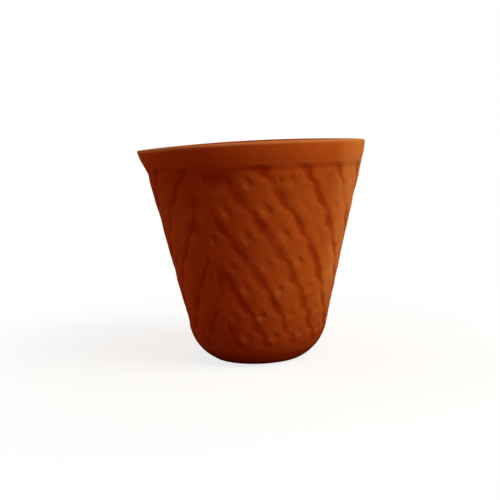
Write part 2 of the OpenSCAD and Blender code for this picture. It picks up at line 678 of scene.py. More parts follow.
class Wheel:
    """The potter's bench, which draws half sections and turns, presses and closes them."""

    @staticmethod
    def pick(piece: bpy.types.Object) -> None:
        """Makes one piece the only selected and active one.

        Args:
            piece: The piece.
        """
        bpy.ops.object.select_all(action="DESELECT")
        piece.select_set(True)
        bpy.context.view_layer.objects.active = piece

    @staticmethod
    def draw(name: str, section: Section, closed: bool) -> bpy.types.Object:
        """Draws a half section as a chain of edges, by extruding one point along it.

        Args:
            name: Name of the new piece.
            section: Points as radius and height.
            closed: Whether the chain ends where it starts.

        Returns:
            The new object, at the origin.
        """
        # A small triangle, merged to the one point that the chain starts from
        bpy.ops.object.select_all(action="DESELECT")
        bpy.ops.mesh.primitive_circle_add(vertices=3, radius=MM, location=(0, 0, 0))
        piece = bpy.context.object
        piece.name = name
        piece.data.name = name
        bpy.ops.object.mode_set(mode="EDIT")
        bpy.ops.mesh.select_mode(type="VERT")
        bpy.ops.mesh.select_all(action="SELECT")
        bpy.ops.mesh.merge(type="CENTER")
        path = section + section[:1] if closed else section
        last = (0.0, 0.0)
        for index, point in enumerate(path):
            move = (0.0, last[0] - point[0], point[1] - last[1])
            if index == 0:
                bpy.ops.transform.translate(value=move)
            else:
                bpy.ops.mesh.extrude_vertices_move(TRANSFORM_OT_translate={"value": move})
            last = point
        bpy.ops.mesh.select_all(action="SELECT")
        bpy.ops.mesh.remove_doubles(threshold=WELD)
        bpy.ops.object.mode_set(mode="OBJECT")
        return piece

    @staticmethod
    def turn(piece: bpy.types.Object, sweep: float, steps: int) -> None:
        """Turns a drawn section about the cup's axis.

        Args:
            piece: The drawn section.
            sweep: Angle of the turn; a full turn closes on itself.
            steps: Columns of faces in the turn.
        """
        Wheel.pick(piece)
        bpy.ops.object.modifier_add(type="SCREW")
        lathe = piece.modifiers[-1]
        lathe.axis = "Z"
        lathe.angle = sweep
        lathe.steps = steps
        lathe.render_steps = steps
        lathe.use_normal_calculate = True
        bpy.ops.object.modifier_apply(modifier=lathe.name)
        bpy.ops.object.mode_set(mode="EDIT")
        bpy.ops.mesh.select_all(action="SELECT")
        bpy.ops.mesh.remove_doubles(threshold=WELD)
        bpy.ops.mesh.select_all(action="SELECT")
        bpy.ops.mesh.normals_make_consistent(inside=False)
        bpy.ops.object.mode_set(mode="OBJECT")

    @staticmethod
    def points(piece: bpy.types.Object) -> Values:
        """Places of a piece's vertices, one row each.

        Args:
            piece: The piece.

        Returns:
            Rows of x, y and z in metres.
        """
        flat = np.zeros(len(piece.data.vertices) * 3)
        piece.data.vertices.foreach_get("co", flat)
        return flat.reshape(-1, 3)

    @staticmethod
    def press(piece: bpy.types.Object, depths: Values) -> None:
        """Presses a piece's face inwards, and then raises it, by a depth at each vertex.

        Args:
            piece: The turned piece, with its normals outwards.
            depths: Depth at each vertex, in metres, below zero where the face is raised.
        """
        Wheel.pick(piece)
        for way in (1.0, -1.0):
            shares = np.maximum(depths * way, 0.0)
            deepest = float(shares.max())
            if deepest == 0.0:
                continue
            group = piece.vertex_groups.new(name="pressing")
            for index in np.flatnonzero(shares).tolist():
                group.add((index,), float(shares[index]) / deepest, "REPLACE")
            bpy.ops.object.modifier_add(type="DISPLACE")
            stamp = piece.modifiers[-1]
            stamp.vertex_group = group.name
            stamp.direction = "NORMAL"
            stamp.mid_level = 0.0
            stamp.strength = -way * deepest
            bpy.ops.object.modifier_apply(modifier=stamp.name)
            piece.vertex_groups.clear()

    @staticmethod
    def mark(piece: bpy.types.Object, name: str, values: Values) -> None:
        """Keeps a value at each vertex, for the finish to read."""
        layer = piece.data.attributes.new(name, "FLOAT", "POINT")
        layer.data.foreach_set("value", values.astype(np.float32))

    @staticmethod
    def close_seams(piece: bpy.types.Object) -> None:
        """Lays the open ends of a half turn flat on the seam plane and fills them.

        Args:
            piece: The pressed half turn.
        """
        Wheel.pick(piece)
        bpy.ops.object.mode_set(mode="EDIT")
        bpy.ops.mesh.select_mode(type="EDGE")
        bpy.ops.mesh.select_all(action="DESELECT")
        bpy.ops.mesh.select_non_manifold(
            extend=False, use_wire=False, use_boundary=True, use_multi_face=False,
            use_non_contiguous=False, use_verts=False)
        bpy.ops.transform.resize(value=(0.0, 1.0, 1.0), center_override=(0.0, 0.0, 0.0))
        bpy.ops.mesh.edge_face_add()
        bpy.ops.mesh.select_all(action="SELECT")
        bpy.ops.mesh.normals_make_consistent(inside=False)
        bpy.ops.object.mode_set(mode="OBJECT")

    @staticmethod
    def smooth(piece: bpy.types.Object, angle: float = math.radians(50)) -> None:
        """Shades a piece smooth, apart from edges sharper than an angle."""
        Wheel.pick(piece)
        bpy.ops.object.shade_smooth_by_angle(angle=angle)


@dataclass
class SoftLean:
    """Lean and sag that the rim took while the clay was soft: a lattice that eases every piece."""

    cup: CupSizes
    side: float = VIEW_TURN
    tilt: float = 0.0174
    sag: float = 1.19 * MM
    shift: float = -0.78 * MM
    ride_over: float = 0.45 * MM
    tilt_low_z: float = 62 * MM
    sag_low_z: float = 20 * MM
    shift_low_z: float = 68 * MM
    columns: int = 13
    rows: int = 2
    levels: int = 40
    margin: float = 4 * MM
    cage: bpy.types.Object | None = field(default=None, init=False)

    def moved(self, across: float, z: float) -> Point:
        """Works out how far the clay moved at one place.

        Args:
            across: Distance from the axis towards the side that the rim leans from.
            z: Height above the table.

        Returns:
            Move along the same direction, and move upwards.
        """
        cup = self.cup
        above = max(0.0, (z - self.shift_low_z) / (cup.height - self.shift_low_z))
        slip = self.shift * above + self.ride_over * min(1.0, max(0.0, z / self.shift_low_z))
        # Rise of the rim at its highest, taken off so that the cup keeps its height
        top = (self.tilt * cup.mouth_r) ** 2 / (4 * self.sag)
        sagging = float(ease(self.sag_low_z, self.shift_low_z, z))
        tilting = float(ease(self.tilt_low_z, cup.height, z))
        drop = self.sag * (across / cup.mouth_r) ** 2 * sagging
        return slip, (self.tilt * across - top) * tilting - drop

    def set_up(self) -> None:
        """Adds the lattice round the whole cup and moves its points."""
        span = self.cup.mouth_r * 2 + self.margin
        tall = self.cup.height + self.margin
        bpy.ops.object.select_all(action="DESELECT")
        middle = (0.0, 0.0, self.cup.height / 2)
        bpy.ops.object.add(type="LATTICE", location=middle, rotation=(0.0, 0.0, self.side))
        self.cage = bpy.context.object
        self.cage.scale = (span, span, tall)
        grid = self.cage.data
        grid.points_u = self.columns
        grid.points_v = self.rows
        grid.points_w = self.levels
        for way in "uvw":
            setattr(grid, f"interpolation_type_{way}", "KEY_LINEAR")
        for point in grid.points:
            x, y, w = point.co
            slip, rise = self.moved(x * span, w * tall + self.cup.height / 2)
            point.co_deform = (x + slip / span, y, w + rise / tall)

    def ease(self, piece: bpy.types.Object) -> None:
        """Bends one piece by the lattice.

        Args:
            piece: The piece.
        """
        Wheel.pick(piece)
        bpy.ops.object.modifier_add(type="LATTICE")
        bend = piece.modifiers[-1]
        bend.object = self.cage
        bpy.ops.object.modifier_apply(modifier=bend.name)

    def clear(self) -> None:
        """Takes the lattice away once every piece is bent."""
        Wheel.pick(self.cage)
        bpy.ops.object.delete()
        self.cage = None


# Finish

@dataclass(frozen=True)
class Noise:
    """A cloudy pattern: the size of its features in metres, its detail and its roughness."""

    size: float
    detail: float
    roughness: float = 0.5


class Amount:
    """A number socket of a shader that Python sums can be written with."""

    def __init__(self, shader: "Shader", socket: bpy.types.NodeSocket) -> None:
        """Keeps the shader and the socket."""
        self.shader = shader
        self.socket = socket

    def _sum(self, operation: str, first: Any, second: Any) -> "Amount":
        """Adds a Math node for one operation."""
        made = self.shader.node("ShaderNodeMath", {"operation": operation}, {0: first, 1: second})
        return Amount(self.shader, made.outputs[0])

    def __add__(self, other: Any) -> "Amount":
        """Sum of two amounts."""
        return self._sum("ADD", self, other)

    def __radd__(self, other: Any) -> "Amount":
        """Sum with a number on the left."""
        return self._sum("ADD", other, self)

    def __sub__(self, other: Any) -> "Amount":
        """Difference of two amounts."""
        return self._sum("SUBTRACT", self, other)

    def __rsub__(self, other: Any) -> "Amount":
        """Difference from a number on the left."""
        return self._sum("SUBTRACT", other, self)

    def __mul__(self, other: Any) -> "Amount":
        """Product of two amounts."""
        return self._sum("MULTIPLY", self, other)

    def __rmul__(self, other: Any) -> "Amount":
        """Product with a number on the left."""
        return self._sum("MULTIPLY", other, self)

    def swing(self, most: float) -> "Amount":
        """Swing about 0 of a pattern that lies about a half."""
        return most * (self - 0.5)

    def span(self, low: float, high: float) -> "Amount":
        """Goes smoothly from 0 to 1 between two values."""
        made = self.shader.node("ShaderNodeMapRange", {"interpolation_type": "SMOOTHSTEP"},
                                {"Value": self, "From Min": low, "From Max": high})
        return Amount(self.shader, made.outputs[0])


class Shader:
    """Node tree of a material or of the world, with one method that adds any node."""

    def __init__(self, material: bpy.types.Material | bpy.types.World) -> None:
        """Empties the node tree.

        Args:
            material: Material or world that the nodes belong to.
        """
        material.use_nodes = True
        self.tree = material.node_tree
        self.tree.nodes.clear()

    def node(self, kind: str, settings: dict[str, Any] | None = None,
             sockets: dict[str | int, Any] | None = None) -> bpy.types.Node:
        """Adds one node.

        Args:
            kind: Blender's name of the node type.
            settings: Properties of the node, set first.
            sockets: Values or links of its inputs, by name or number.

        Returns:
            The new node.
        """
        made = self.tree.nodes.new(kind)
        for name, value in (settings or {}).items():
            setattr(made, name, value)
        for key, value in (sockets or {}).items():
            if isinstance(value, Amount):
                self.tree.links.new(value.socket, made.inputs[key])
            elif isinstance(value, bpy.types.NodeSocket):
                self.tree.links.new(value, made.inputs[key])
            else:
                made.inputs[key].default_value = value
        return made

    def place(self) -> bpy.types.NodeSocket:
        """Place on the piece, in metres."""
        return self.node("ShaderNodeTexCoord").outputs["Object"]

    def vector(self, operation: str, *inputs: Any) -> bpy.types.Node:
        """Adds a Vector Math node."""
        return self.node("ShaderNodeVectorMath", {"operation": operation}, dict(enumerate(inputs)))

    def stretched(self, place: bpy.types.NodeSocket,
                  scale: Sequence[float]) -> bpy.types.NodeSocket:
        """Place with each axis drawn out by its own factor."""
        return self.node("ShaderNodeMapping", {}, {"Vector": place, "Scale": scale}).outputs[0]

    def noise(self, place: bpy.types.NodeSocket, noise: Noise) -> Amount:
        """Cloudy pattern across the piece."""
        made = self.node("ShaderNodeTexNoise", {"noise_dimensions": "3D"}, {
            "Vector": place, "Scale": 1.0 / noise.size,
            "Detail": noise.detail, "Roughness": noise.roughness})
        return Amount(self, made.outputs[0])

    def height(self, place: bpy.types.NodeSocket) -> Amount:
        """Height above the table, in metres."""
        return Amount(self, self.node("ShaderNodeSeparateXYZ", {}, {0: place}).outputs[2])

    def facing(self, place: bpy.types.NodeSocket, side: float) -> Amount:
        """Share that a place round the cup faces a side: 1 on that side and -1 on the far one.

        Args:
            place: Place on the piece.
            side: Angle of the side from the front seam towards +X.

        Returns:
            The share.
        """
        flat = self.vector("MULTIPLY", place, (1.0, 1.0, 0.0))
        unit = self.vector("NORMALIZE", flat.outputs[0])
        ray = (math.sin(side), -math.cos(side), 0.0)
        return Amount(self, self.vector("DOT_PRODUCT", unit.outputs[0], ray).outputs["Value"])

    def kept(self, name: str) -> Amount:
        """Value that the mesh keeps at each point."""
        made = self.node("ShaderNodeAttribute", {"attribute_name": name})
        return Amount(self, made.outputs["Fac"])

    def tint(self, share: Any, under: Any, over: Any) -> bpy.types.NodeSocket:
        """Lays one colour over another by a share."""
        # Inputs 0, 6 and 7 are the share and the two colours, and output 2 is the mixed colour
        settings = {"data_type": "RGBA", "clamp_factor": True}
        return self.node("ShaderNodeMix", settings, {0: share, 6: under, 7: over}).outputs[2]


def opaque(colour: Colour) -> tuple[float, float, float, float]:
    """Colour with a full alpha."""
    return (*colour, 1.0)


@dataclass(frozen=True)
class ClayMaps:
    """Patterns and places that the finish is mixed from."""

    place: bpy.types.NodeSocket
    cloud: Amount
    mottle: Amount
    fleck: Amount
    grain: Amount
    groove: Amount
    inside: Amount
    height: Amount
    on_band: Amount


@dataclass(frozen=True)
class FiredClay:
    """Unglazed red clay, kiln-baked and burnished, with painted light and shade in its colour."""

    band_z: float
    name: str = "fired_clay"
    body: Colour = (0.385, 0.054, 0.0078)
    deep: Colour = (0.33, 0.042, 0.006)
    blush: Colour = (0.42, 0.07, 0.0115)
    # Painted light of the side that faces the key lamp
    flash: Colour = (0.435, 0.099, 0.0125)
    # Painted shade in the grooves, and the colour of dark specks
    shade: Colour = (0.21, 0.012, 0.001)
    # Pale flecks, and painted highlights beside the pits and along the lip
    pale: Colour = (0.43, 0.165, 0.053)
    # Painted sheen along the lit edge
    bleach: Colour = (0.56, 0.205, 0.05)
    # Dark flecks, and painted shade at the foot, under the band, away from the key lamp and inside
    dusk: Colour = (0.19, 0.02, 0.003)
    # Painted shade under the crease of the foot
    soot: Colour = (0.12, 0.009, 0.002)
    # Patterns in the clay and on its skin
    cloud: Noise = Noise(26 * MM, 3.0)
    mottle: Noise = Noise(5.5 * MM, 4.0, 0.62)
    fleck: Noise = Noise(2.1 * MM, 2.0, 0.55)
    grain: Noise = Noise(0.55 * MM, 3.0, 0.6)
    speck: Noise = Noise(0.9 * MM, 1.0)
    turning: Noise = Noise(1.1 * MM, 2.0)
    turning_stretch: tuple[float, float, float] = (0.12, 0.12, 2.2)
    # Body of the clay: shares of cloud and mottle, where one colour takes over, and its share
    body_mix: Point = (0.6, 0.4)
    body_span: Point = (0.36, 0.62)
    blush_mix: Point = (0.7, 0.3)
    blush_span: Point = (0.54, 0.72)
    blush_share: float = 0.7
    fleck_span: Point = (0.5, 0.72)
    pale_flecks: float = 0.1
    dark_flecks: float = 0.2
    band_rub: float = 0.7
    band_edge: Point = (-2 * MM, 1 * MM)
    speck_span: Point = (0.66, 0.74)
    speck_share: float = 0.14
    # Painted light: lighter, more orange clay on the side that faces the key lamp
    flash_side: float = VIEW_TURN + math.radians(66)
    flash_span: Point = (-0.1, 1.05)
    flash_cloud: float = 0.35
    flash_heights: Point = (3 * MM, 30 * MM)
    flash_low: float = 0.32
    flash_most: float = 0.15
    flash_band: float = 0.2
    # Painted sheen: pale clay along the edge beyond the lit side
    bleach_side: float = VIEW_TURN + math.radians(80)
    bleach_span: Point = (0.8, 0.99)
    bleach_cloud: float = 0.12
    bleach_heights: Point = (3 * MM, 36 * MM)
    bleach_share: float = 0.56
    bleach_mottle: float = 0.8
    # Painted shade towards the foot, a little under the band, and away from the key lamp
    dusk_heights: Point = (4 * MM, 32 * MM)
    dusk_foot: float = 0.66
    dusk_rise: float = 0.39
    dusk_band: float = 0.18
    top_heights: Point = (54 * MM, 66 * MM)
    top_share: float = 0.1
    smoke_side: float = VIEW_TURN - math.radians(52)
    smoke_span: Point = (0.75, 1.0)
    smoke_cloud: float = 0.15
    smoke_heights: Point = (30 * MM, 54 * MM)
    smoke_share: float = 0.13
    # Painted shade under the crease of the foot, less on the side that faces the key lamp
    soot_heights: Point = (4 * MM, 4.9 * MM)
    soot_share: float = 0.3
    soot_burnt: float = 0.4
    soot_mottle: float = 0.4
    # Marks that the meshes keep: painted shade in grooves, painted highlights, painted shade inside
    # Painted shade in the grooves
    groove_share: float = 0.38
    groove_mottle: float = 0.5
    # Painted highlights beside the pits and along the lip
    rubbed_share: float = 0.7
    rubbed_mottle: float = 0.5
    # Painted shade inside the cup
    inside_share: float = 0.5
    # Gloss and grain of the skin
    gloss: float = 0.0
    roughness: float = 0.58
    rough_mottle: float = 0.16
    rough_groove: float = 0.1
    rough_grain: float = 0.08
    bump: float = 0.3
    bump_reach: float = 0.25 * MM
    bump_grain: float = 0.55
    bump_turning: float = 0.35
    bump_mottle: float = 0.3
    bump_fleck: float = 0.25

    def maps(self, shader: Shader) -> ClayMaps:
        """Adds the patterns and places that several layers read.

        Args:
            shader: Node tree of the material.

        Returns:
            The patterns and places.
        """
        place = shader.place()
        height = shader.height(place)
        edge_low, edge_high = self.band_edge
        return ClayMaps(
            place=place,
            cloud=shader.noise(place, self.cloud),
            mottle=shader.noise(place, self.mottle),
            fleck=shader.noise(place, self.fleck),
            grain=shader.noise(place, self.grain),
            groove=shader.kept(PAINTED_SHADE_AND_HIGHLIGHT_MARK).span(0.0, 1.0),
            inside=shader.kept(INSIDE_MARK),
            height=height,
            on_band=height.span(self.band_z + edge_low, self.band_z + edge_high),
        )

    def toward_fire(self, shader: Shader, maps: ClayMaps) -> Amount:
        """Share facing the key lamp, for the painted light of the lit side, less towards the foot.

        Args:
            shader: Node tree of the material.
            maps: Patterns and places.

        Returns:
            The share.
        """
        facing = shader.facing(maps.place, self.flash_side) + maps.cloud.swing(self.flash_cloud)
        risen = self.flash_low * maps.height.span(*self.flash_heights)
        return (facing + risen - self.flash_low).span(*self.flash_span)

    def bleached(self, shader: Shader, maps: ClayMaps) -> Amount:
        """Share of the painted sheen along the lit edge, on the outside only.

        Args:
            shader: Node tree of the material.
            maps: Patterns and places.

        Returns:
            The share.
        """
        facing = shader.facing(maps.place, self.bleach_side) + maps.cloud.swing(self.bleach_cloud)
        skin = facing.span(*self.bleach_span) * maps.height.span(*self.bleach_heights)
        share = self.bleach_share + maps.mottle.swing(self.bleach_mottle)
        return skin * (1 - maps.inside) * share

    def dusky(self, shader: Shader, maps: ClayMaps) -> Amount:
        """Share of the dark colour: a little all over, and painted shade towards the foot, under
        the band and on the side away from the key lamp, less on the band itself.

        Args:
            shader: Node tree of the material.
            maps: Patterns and places.

        Returns:
            The share.
        """
        foot = self.dusk_foot - self.dusk_rise * maps.height.span(*self.dusk_heights)
        top = self.top_share * maps.height.span(*self.top_heights)
        facing = shader.facing(maps.place, self.smoke_side) + maps.cloud.swing(self.smoke_cloud)
        side_shade = facing.span(*self.smoke_span) * maps.height.span(*self.smoke_heights)
        side_shade = side_shade * (1 - maps.on_band) * self.smoke_share
        return foot - self.dusk_band * maps.on_band + top + side_shade

    def colour(self, shader: Shader, maps: ClayMaps) -> bpy.types.NodeSocket:
        """Lays the colours of the clay over each other.

        Args:
            shader: Node tree of the material.
            maps: Patterns and places.

        Returns:
            The colour of the skin.
        """
        mottle = maps.mottle
        # Share of the painted light on the side that faces the key lamp
        lit_share = self.toward_fire(shader, maps)
        flash = lit_share * (1 - self.flash_most + self.flash_most * lit_share)
        flash = flash * (1 - self.flash_band * maps.on_band)
        rough_skin = 1 - self.band_rub * maps.on_band
        speck = shader.noise(maps.place, self.speck)
        # Painted highlights where the mark is below 0
        rubbed = (shader.kept(PAINTED_SHADE_AND_HIGHLIGHT_MARK) * -1).span(0.0, 1.0)
        # Painted shade under the crease of the foot
        underside_shaded = self.soot_share * (1 - self.soot_burnt * lit_share) + mottle.swing(self.soot_mottle)
        underside_shaded = underside_shaded * (1 - maps.height.span(*self.soot_heights))

        body = self.body_mix[0] * maps.cloud + self.body_mix[1] * mottle
        blush = self.blush_mix[0] * maps.cloud + self.blush_mix[1] * mottle
        layers: tuple[tuple[Amount, Colour], ...] = (
            (body.span(*self.body_span), self.body),
            (blush.span(*self.blush_span) * self.blush_share, self.blush),
            # Painted light on the lit side
            (flash, self.flash),
            (maps.fleck.span(*self.fleck_span) * rough_skin * self.pale_flecks, self.pale),
            ((1 - maps.fleck).span(*self.fleck_span) * rough_skin * self.dark_flecks, self.dusk),
            # Painted shade towards the foot, under the band and away from the key lamp
            (self.dusky(shader, maps), self.dusk),
            # Painted sheen along the lit edge
            (self.bleached(shader, maps), self.bleach),
            # Painted shade in the grooves
            (maps.groove * (self.groove_share + self.groove_mottle * mottle), self.shade),
            (speck.span(*self.speck_span) * self.speck_share, self.shade),
            # Painted shade inside the cup
            (maps.inside * self.inside_share, self.dusk),
            # Painted highlights beside the pits and along the lip
            (rubbed * (self.rubbed_share + mottle.swing(self.rubbed_mottle)), self.pale),
            # Painted shade under the crease
            (underside_shaded, self.soot),
        )
        colour: Any = opaque(self.deep)
        for share, over in layers:
            colour = shader.tint(share, colour, opaque(over))
        return colour

    def make(self) -> bpy.types.Material:
        """Builds the material.

        Returns:
            The finished material.
        """
        material = bpy.data.materials.new(self.name)
        shader = Shader(material)
        maps = self.maps(shader)
        turning = shader.noise(shader.stretched(maps.place, self.turning_stretch), self.turning)
        rough = self.roughness + maps.mottle.swing(self.rough_mottle)
        rough = rough + self.rough_groove * maps.groove + maps.grain.swing(self.rough_grain)
        relief = self.bump_grain * maps.grain + self.bump_turning * turning
        relief = relief + self.bump_mottle * maps.mottle + self.bump_fleck * maps.fleck
        bump = shader.node("ShaderNodeBump", {}, {
            "Strength": self.bump, "Distance": self.bump_reach, "Height": relief})
        surface = shader.node("ShaderNodeBsdfPrincipled", {}, {
            "Base Color": self.colour(shader, maps), "Roughness": rough, "Normal": bump.outputs[0],
            "Specular IOR Level": self.gloss})
        shader.node("ShaderNodeOutputMaterial", {}, {"Surface": surface.outputs[0]})
        return material


# Pieces

@dataclass
class ClayPiece(ABC):
    """One luted piece of the cup, with its name and the CAD node that it stands for."""

    name: str
    node: str
    cup: CupSizes
    marks: HandMarks
    rings_low: float = 1 * MM
    rings_high: float = 4 * MM
    piece: bpy.types.Object | None = field(default=None, init=False)

    @abstractmethod
    def section(self) -> Section:
        """Half section of the piece."""

    @abstractmethod
    def build(self, lean: SoftLean) -> None:
        """Models the piece."""

    def polar(self) -> tuple[Values, Values, Values]:
        """Measures where the piece's vertices are.

        Returns:
            Angle from the front seam towards +X, radius and height of each vertex.
        """
        x, y, z = Wheel.points(self.piece).T
        return np.arctan2(x, -y), np.hypot(x, y), z

    def rings(self, angle: Values, z: Values) -> Values:
        """Depth of the turning marks inside, which run out towards the joint of floor and wall."""
        low = self.cup.crease_z + self.rings_low
        return self.marks.rings(angle, z) * ease(low, self.cup.floor_z + self.rings_high, z)

    def dress(self, finish: bpy.types.Material) -> None:
        """Gives the piece its finish and sets it on the cup's body.

        Args:
            finish: Material of the kiln-baked clay.
        """
        Wheel.smooth(self.piece)
        self.piece.data.materials.clear()
        self.piece.data.materials.append(finish)
        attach(self.piece, BODY)
        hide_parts(self.node)


class Half(Enum):
    """Side of the seams that a wall panel lies on, and the way that it turns."""

    RIGHT = 1
    LEFT = -1


@dataclass
class WallPanel(ClayPiece):
    """Half of the wall, turned in at the heel and pressed with slanted bands."""

    half: Half = Half.RIGHT
    bands: PressedBands = RIGHT_BANDS
    columns: int = 360
    face_step: float = 0.36 * MM
    inner_step: float = 1.3 * MM
    neck_h: float = 2.4 * MM
    neck_depth: float = 0.02 * MM
    neck_steps: int = 7
    # Heights over which the marks run out: under the band, above the heel, and inside at the tongue
    top_fade: float = 1.92 * MM
    even_h: float = 15 * MM
    joint_fade: float = 2.5 * MM
    # Slack below the shoulder and beside the inner face within which a vertex is on the tongue
    shoulder_slack: float = 0.01 * MM
    tongue_slack: float = 0.3 * MM

    def section(self) -> Section:
        """Half section: bore for the slab, rounded heel, straight face, neck and tongue.

        Returns:
            Points as radius and height.
        """
        cup = self.cup
        heel = arc(cup.heel_centre, cup.heel_r, cup.crease_angle, -cup.wall_lean, self.face_step)
        neck_z = cup.band_z - self.neck_h
        neck = [(cup.outer_r(z) - self.neck_depth * ((z - neck_z) / self.neck_h) ** 2, z)
                for z in np.linspace(neck_z, cup.band_z, self.neck_steps + 1)[1:].tolist()]
        tongue_low = (cup.inner_r(cup.band_z) + cup.tongue_t, cup.band_z)
        tongue_high = (cup.inner_r(cup.tongue_z) + cup.tongue_t, cup.tongue_z)
        tongue_in = (cup.inner_r(cup.tongue_z), cup.tongue_z)
        inner_heel = arc(
            cup.heel_centre, cup.heel_inner_r, -cup.wall_lean, cup.fillet_top, self.inner_step)
        fillet = arc(
            cup.fillet_centre, cup.floor_fillet, cup.fillet_top, cup.fillet_bore, self.inner_step)
        return [
            (cup.bore_r, cup.crease_z),
            *heel,
            *run(heel[-1], (cup.outer_r(neck_z), neck_z), self.face_step),
            *neck,
            tongue_low,
            tongue_high,
            tongue_in,
            *run(tongue_in, inner_heel[0], self.inner_step),
            *inner_heel[1:],
            *fillet[1:],
        ]

    def relief(self) -> tuple[Values, Values, Values]:
        """Works out the marks on every vertex.

        Returns:
            Depth in metres, painted shade and highlight, and whether a vertex is on the outer face.
        """
        cup = self.cup
        angle, r, z = self.polar()
        plain = cup.face_r(z)
        outside = r > plain - cup.wall_t / 2
        pressed, shade = self.bands.depths(np.abs(angle), z, plain)
        uneven = self.marks.unevenness(angle, z) * ease(cup.crease_z, cup.heel_z + self.even_h, z)
        outer = (pressed + uneven) * (1.0 - ease(cup.band_z - self.top_fade, cup.band_z, z))
        inner = self.rings(angle, z) * ease(0.0, self.joint_fade, cup.tongue_z - z)
        above = z > cup.band_z - self.shoulder_slack
        beyond = r > cup.outer_r(z) - cup.wall_t + self.tongue_slack
        depth = np.where(above & beyond, 0.0, np.where(outside, outer, inner))
        return depth, shade * outside, outside

    def build(self, lean: SoftLean) -> None:
        """Draws, turns, presses and closes the panel.

        Args:
            lean: Lattice that the whole cup is eased by.
        """
        self.piece = Wheel.draw(self.name, self.section(), closed=True)
        Wheel.turn(self.piece, math.pi * self.half.value, self.columns)
        depth, shade, outside = self.relief()
        Wheel.press(self.piece, depth)
        # Painted shade in the grooves and painted highlights beside the pits, then painted shade
        # inside
        Wheel.mark(self.piece, PAINTED_SHADE_AND_HIGHLIGHT_MARK, shade)
        Wheel.mark(self.piece, INSIDE_MARK, 1.0 - outside)
        Wheel.close_seams(self.piece)
        lean.ease(self.piece)


@dataclass
class RimBand(ClayPiece):
    """Plain band that hooks over the wall's tongue and ends in the lip."""

    columns: int = 540
    step: float = 0.35 * MM
    edge_step: float = 0.12 * MM
    mouth_inset: float = 0.28 * MM
    lip_outer_r: float = 0.7 * MM
    lip_inner_r: float = 1.5 * MM
    edge_round: float = 2.4 * MM
    edge_inset: float = 0.02 * MM
    edge_turn: float = math.radians(27)
    belly: float = 0.2 * MM
    # Distance from the tongue to the middle of the band, outside which it is uneven
    middle_gap: float = 0.9 * MM
    uneven_share: float = 0.8
    # Height of the lip, its painted highlight up to the top, and start of the painted shade inside
    lip_h: float = 1.6 * MM
    lip_top: float = 0.5 * MM
    lip_rub: float = 0.9
    dark_inset: float = 0.3 * MM

    def section(self) -> Section:
        """Half section: rounded lower edge, bellied face, lip and hook.

        Returns:
            Points as radius and height.
        """
        cup = self.cup
        lip_out = (cup.mouth_r - self.mouth_inset - self.lip_outer_r, cup.height - self.lip_outer_r)
        lip_in_z = cup.height - self.lip_inner_r
        lip_in = (cup.inner_r(lip_in_z) + self.lip_inner_r / math.cos(cup.wall_lean), lip_in_z)
        lip_outer = arc(lip_out, self.lip_outer_r, -cup.band_lean, math.pi / 2, self.step)
        lip_inner = arc(lip_in, self.lip_inner_r, math.pi / 2, math.pi - cup.wall_lean, self.step)
        edge_c = (cup.shoulder_r - self.edge_inset - self.edge_round * math.cos(self.edge_turn),
                  cup.band_z + self.edge_round * math.sin(self.edge_turn))
        edge = arc(edge_c, self.edge_round, -self.edge_turn, -cup.band_lean, self.edge_step)
        face = run(edge[-1], lip_outer[0], self.step)
        hook_in = (cup.inner_r(cup.tongue_z), cup.tongue_z)
        return [
            *edge,
            *bulged(face, self.belly, 0.0),
            *lip_outer[1:],
            *lip_inner,
            *run(lip_inner[-1], hook_in, self.step),
            (hook_in[0] + cup.tongue_t, cup.tongue_z),
            (cup.inner_r(cup.band_z) + cup.tongue_t, cup.band_z),
        ]

    def build(self, lean: SoftLean) -> None:
        """Draws and turns the band and marks its lip.

        Args:
            lean: Lattice that the whole cup is eased by.
        """
        self.piece = Wheel.draw(self.name, self.section(), closed=True)
        Wheel.turn(self.piece, math.tau, self.columns)
        cup = self.cup
        angle, r, z = self.polar()
        middle = cup.inner_r(z) + cup.tongue_t + self.middle_gap
        uneven = self.marks.unevenness(angle, z) * self.uneven_share
        Wheel.press(self.piece, np.where(r > middle, uneven, 0.0))
        # Painted shade inside the mouth, and a painted highlight along the outside of the lip
        mouth = cup.inner_r(cup.height)
        inside = 1.0 - ease(mouth + self.dark_inset, mouth + self.lip_inner_r, r)
        lip_low, lip_high = cup.height - self.lip_h, cup.height - self.lip_top
        inside = np.where(z > lip_low, inside, r < middle)
        rubbed = self.lip_rub * ease(lip_low, lip_high, z) * (1.0 - inside)
        Wheel.mark(self.piece, PAINTED_SHADE_AND_HIGHLIGHT_MARK, -rubbed)
        Wheel.mark(self.piece, INSIDE_MARK, inside)
        lean.ease(self.piece)


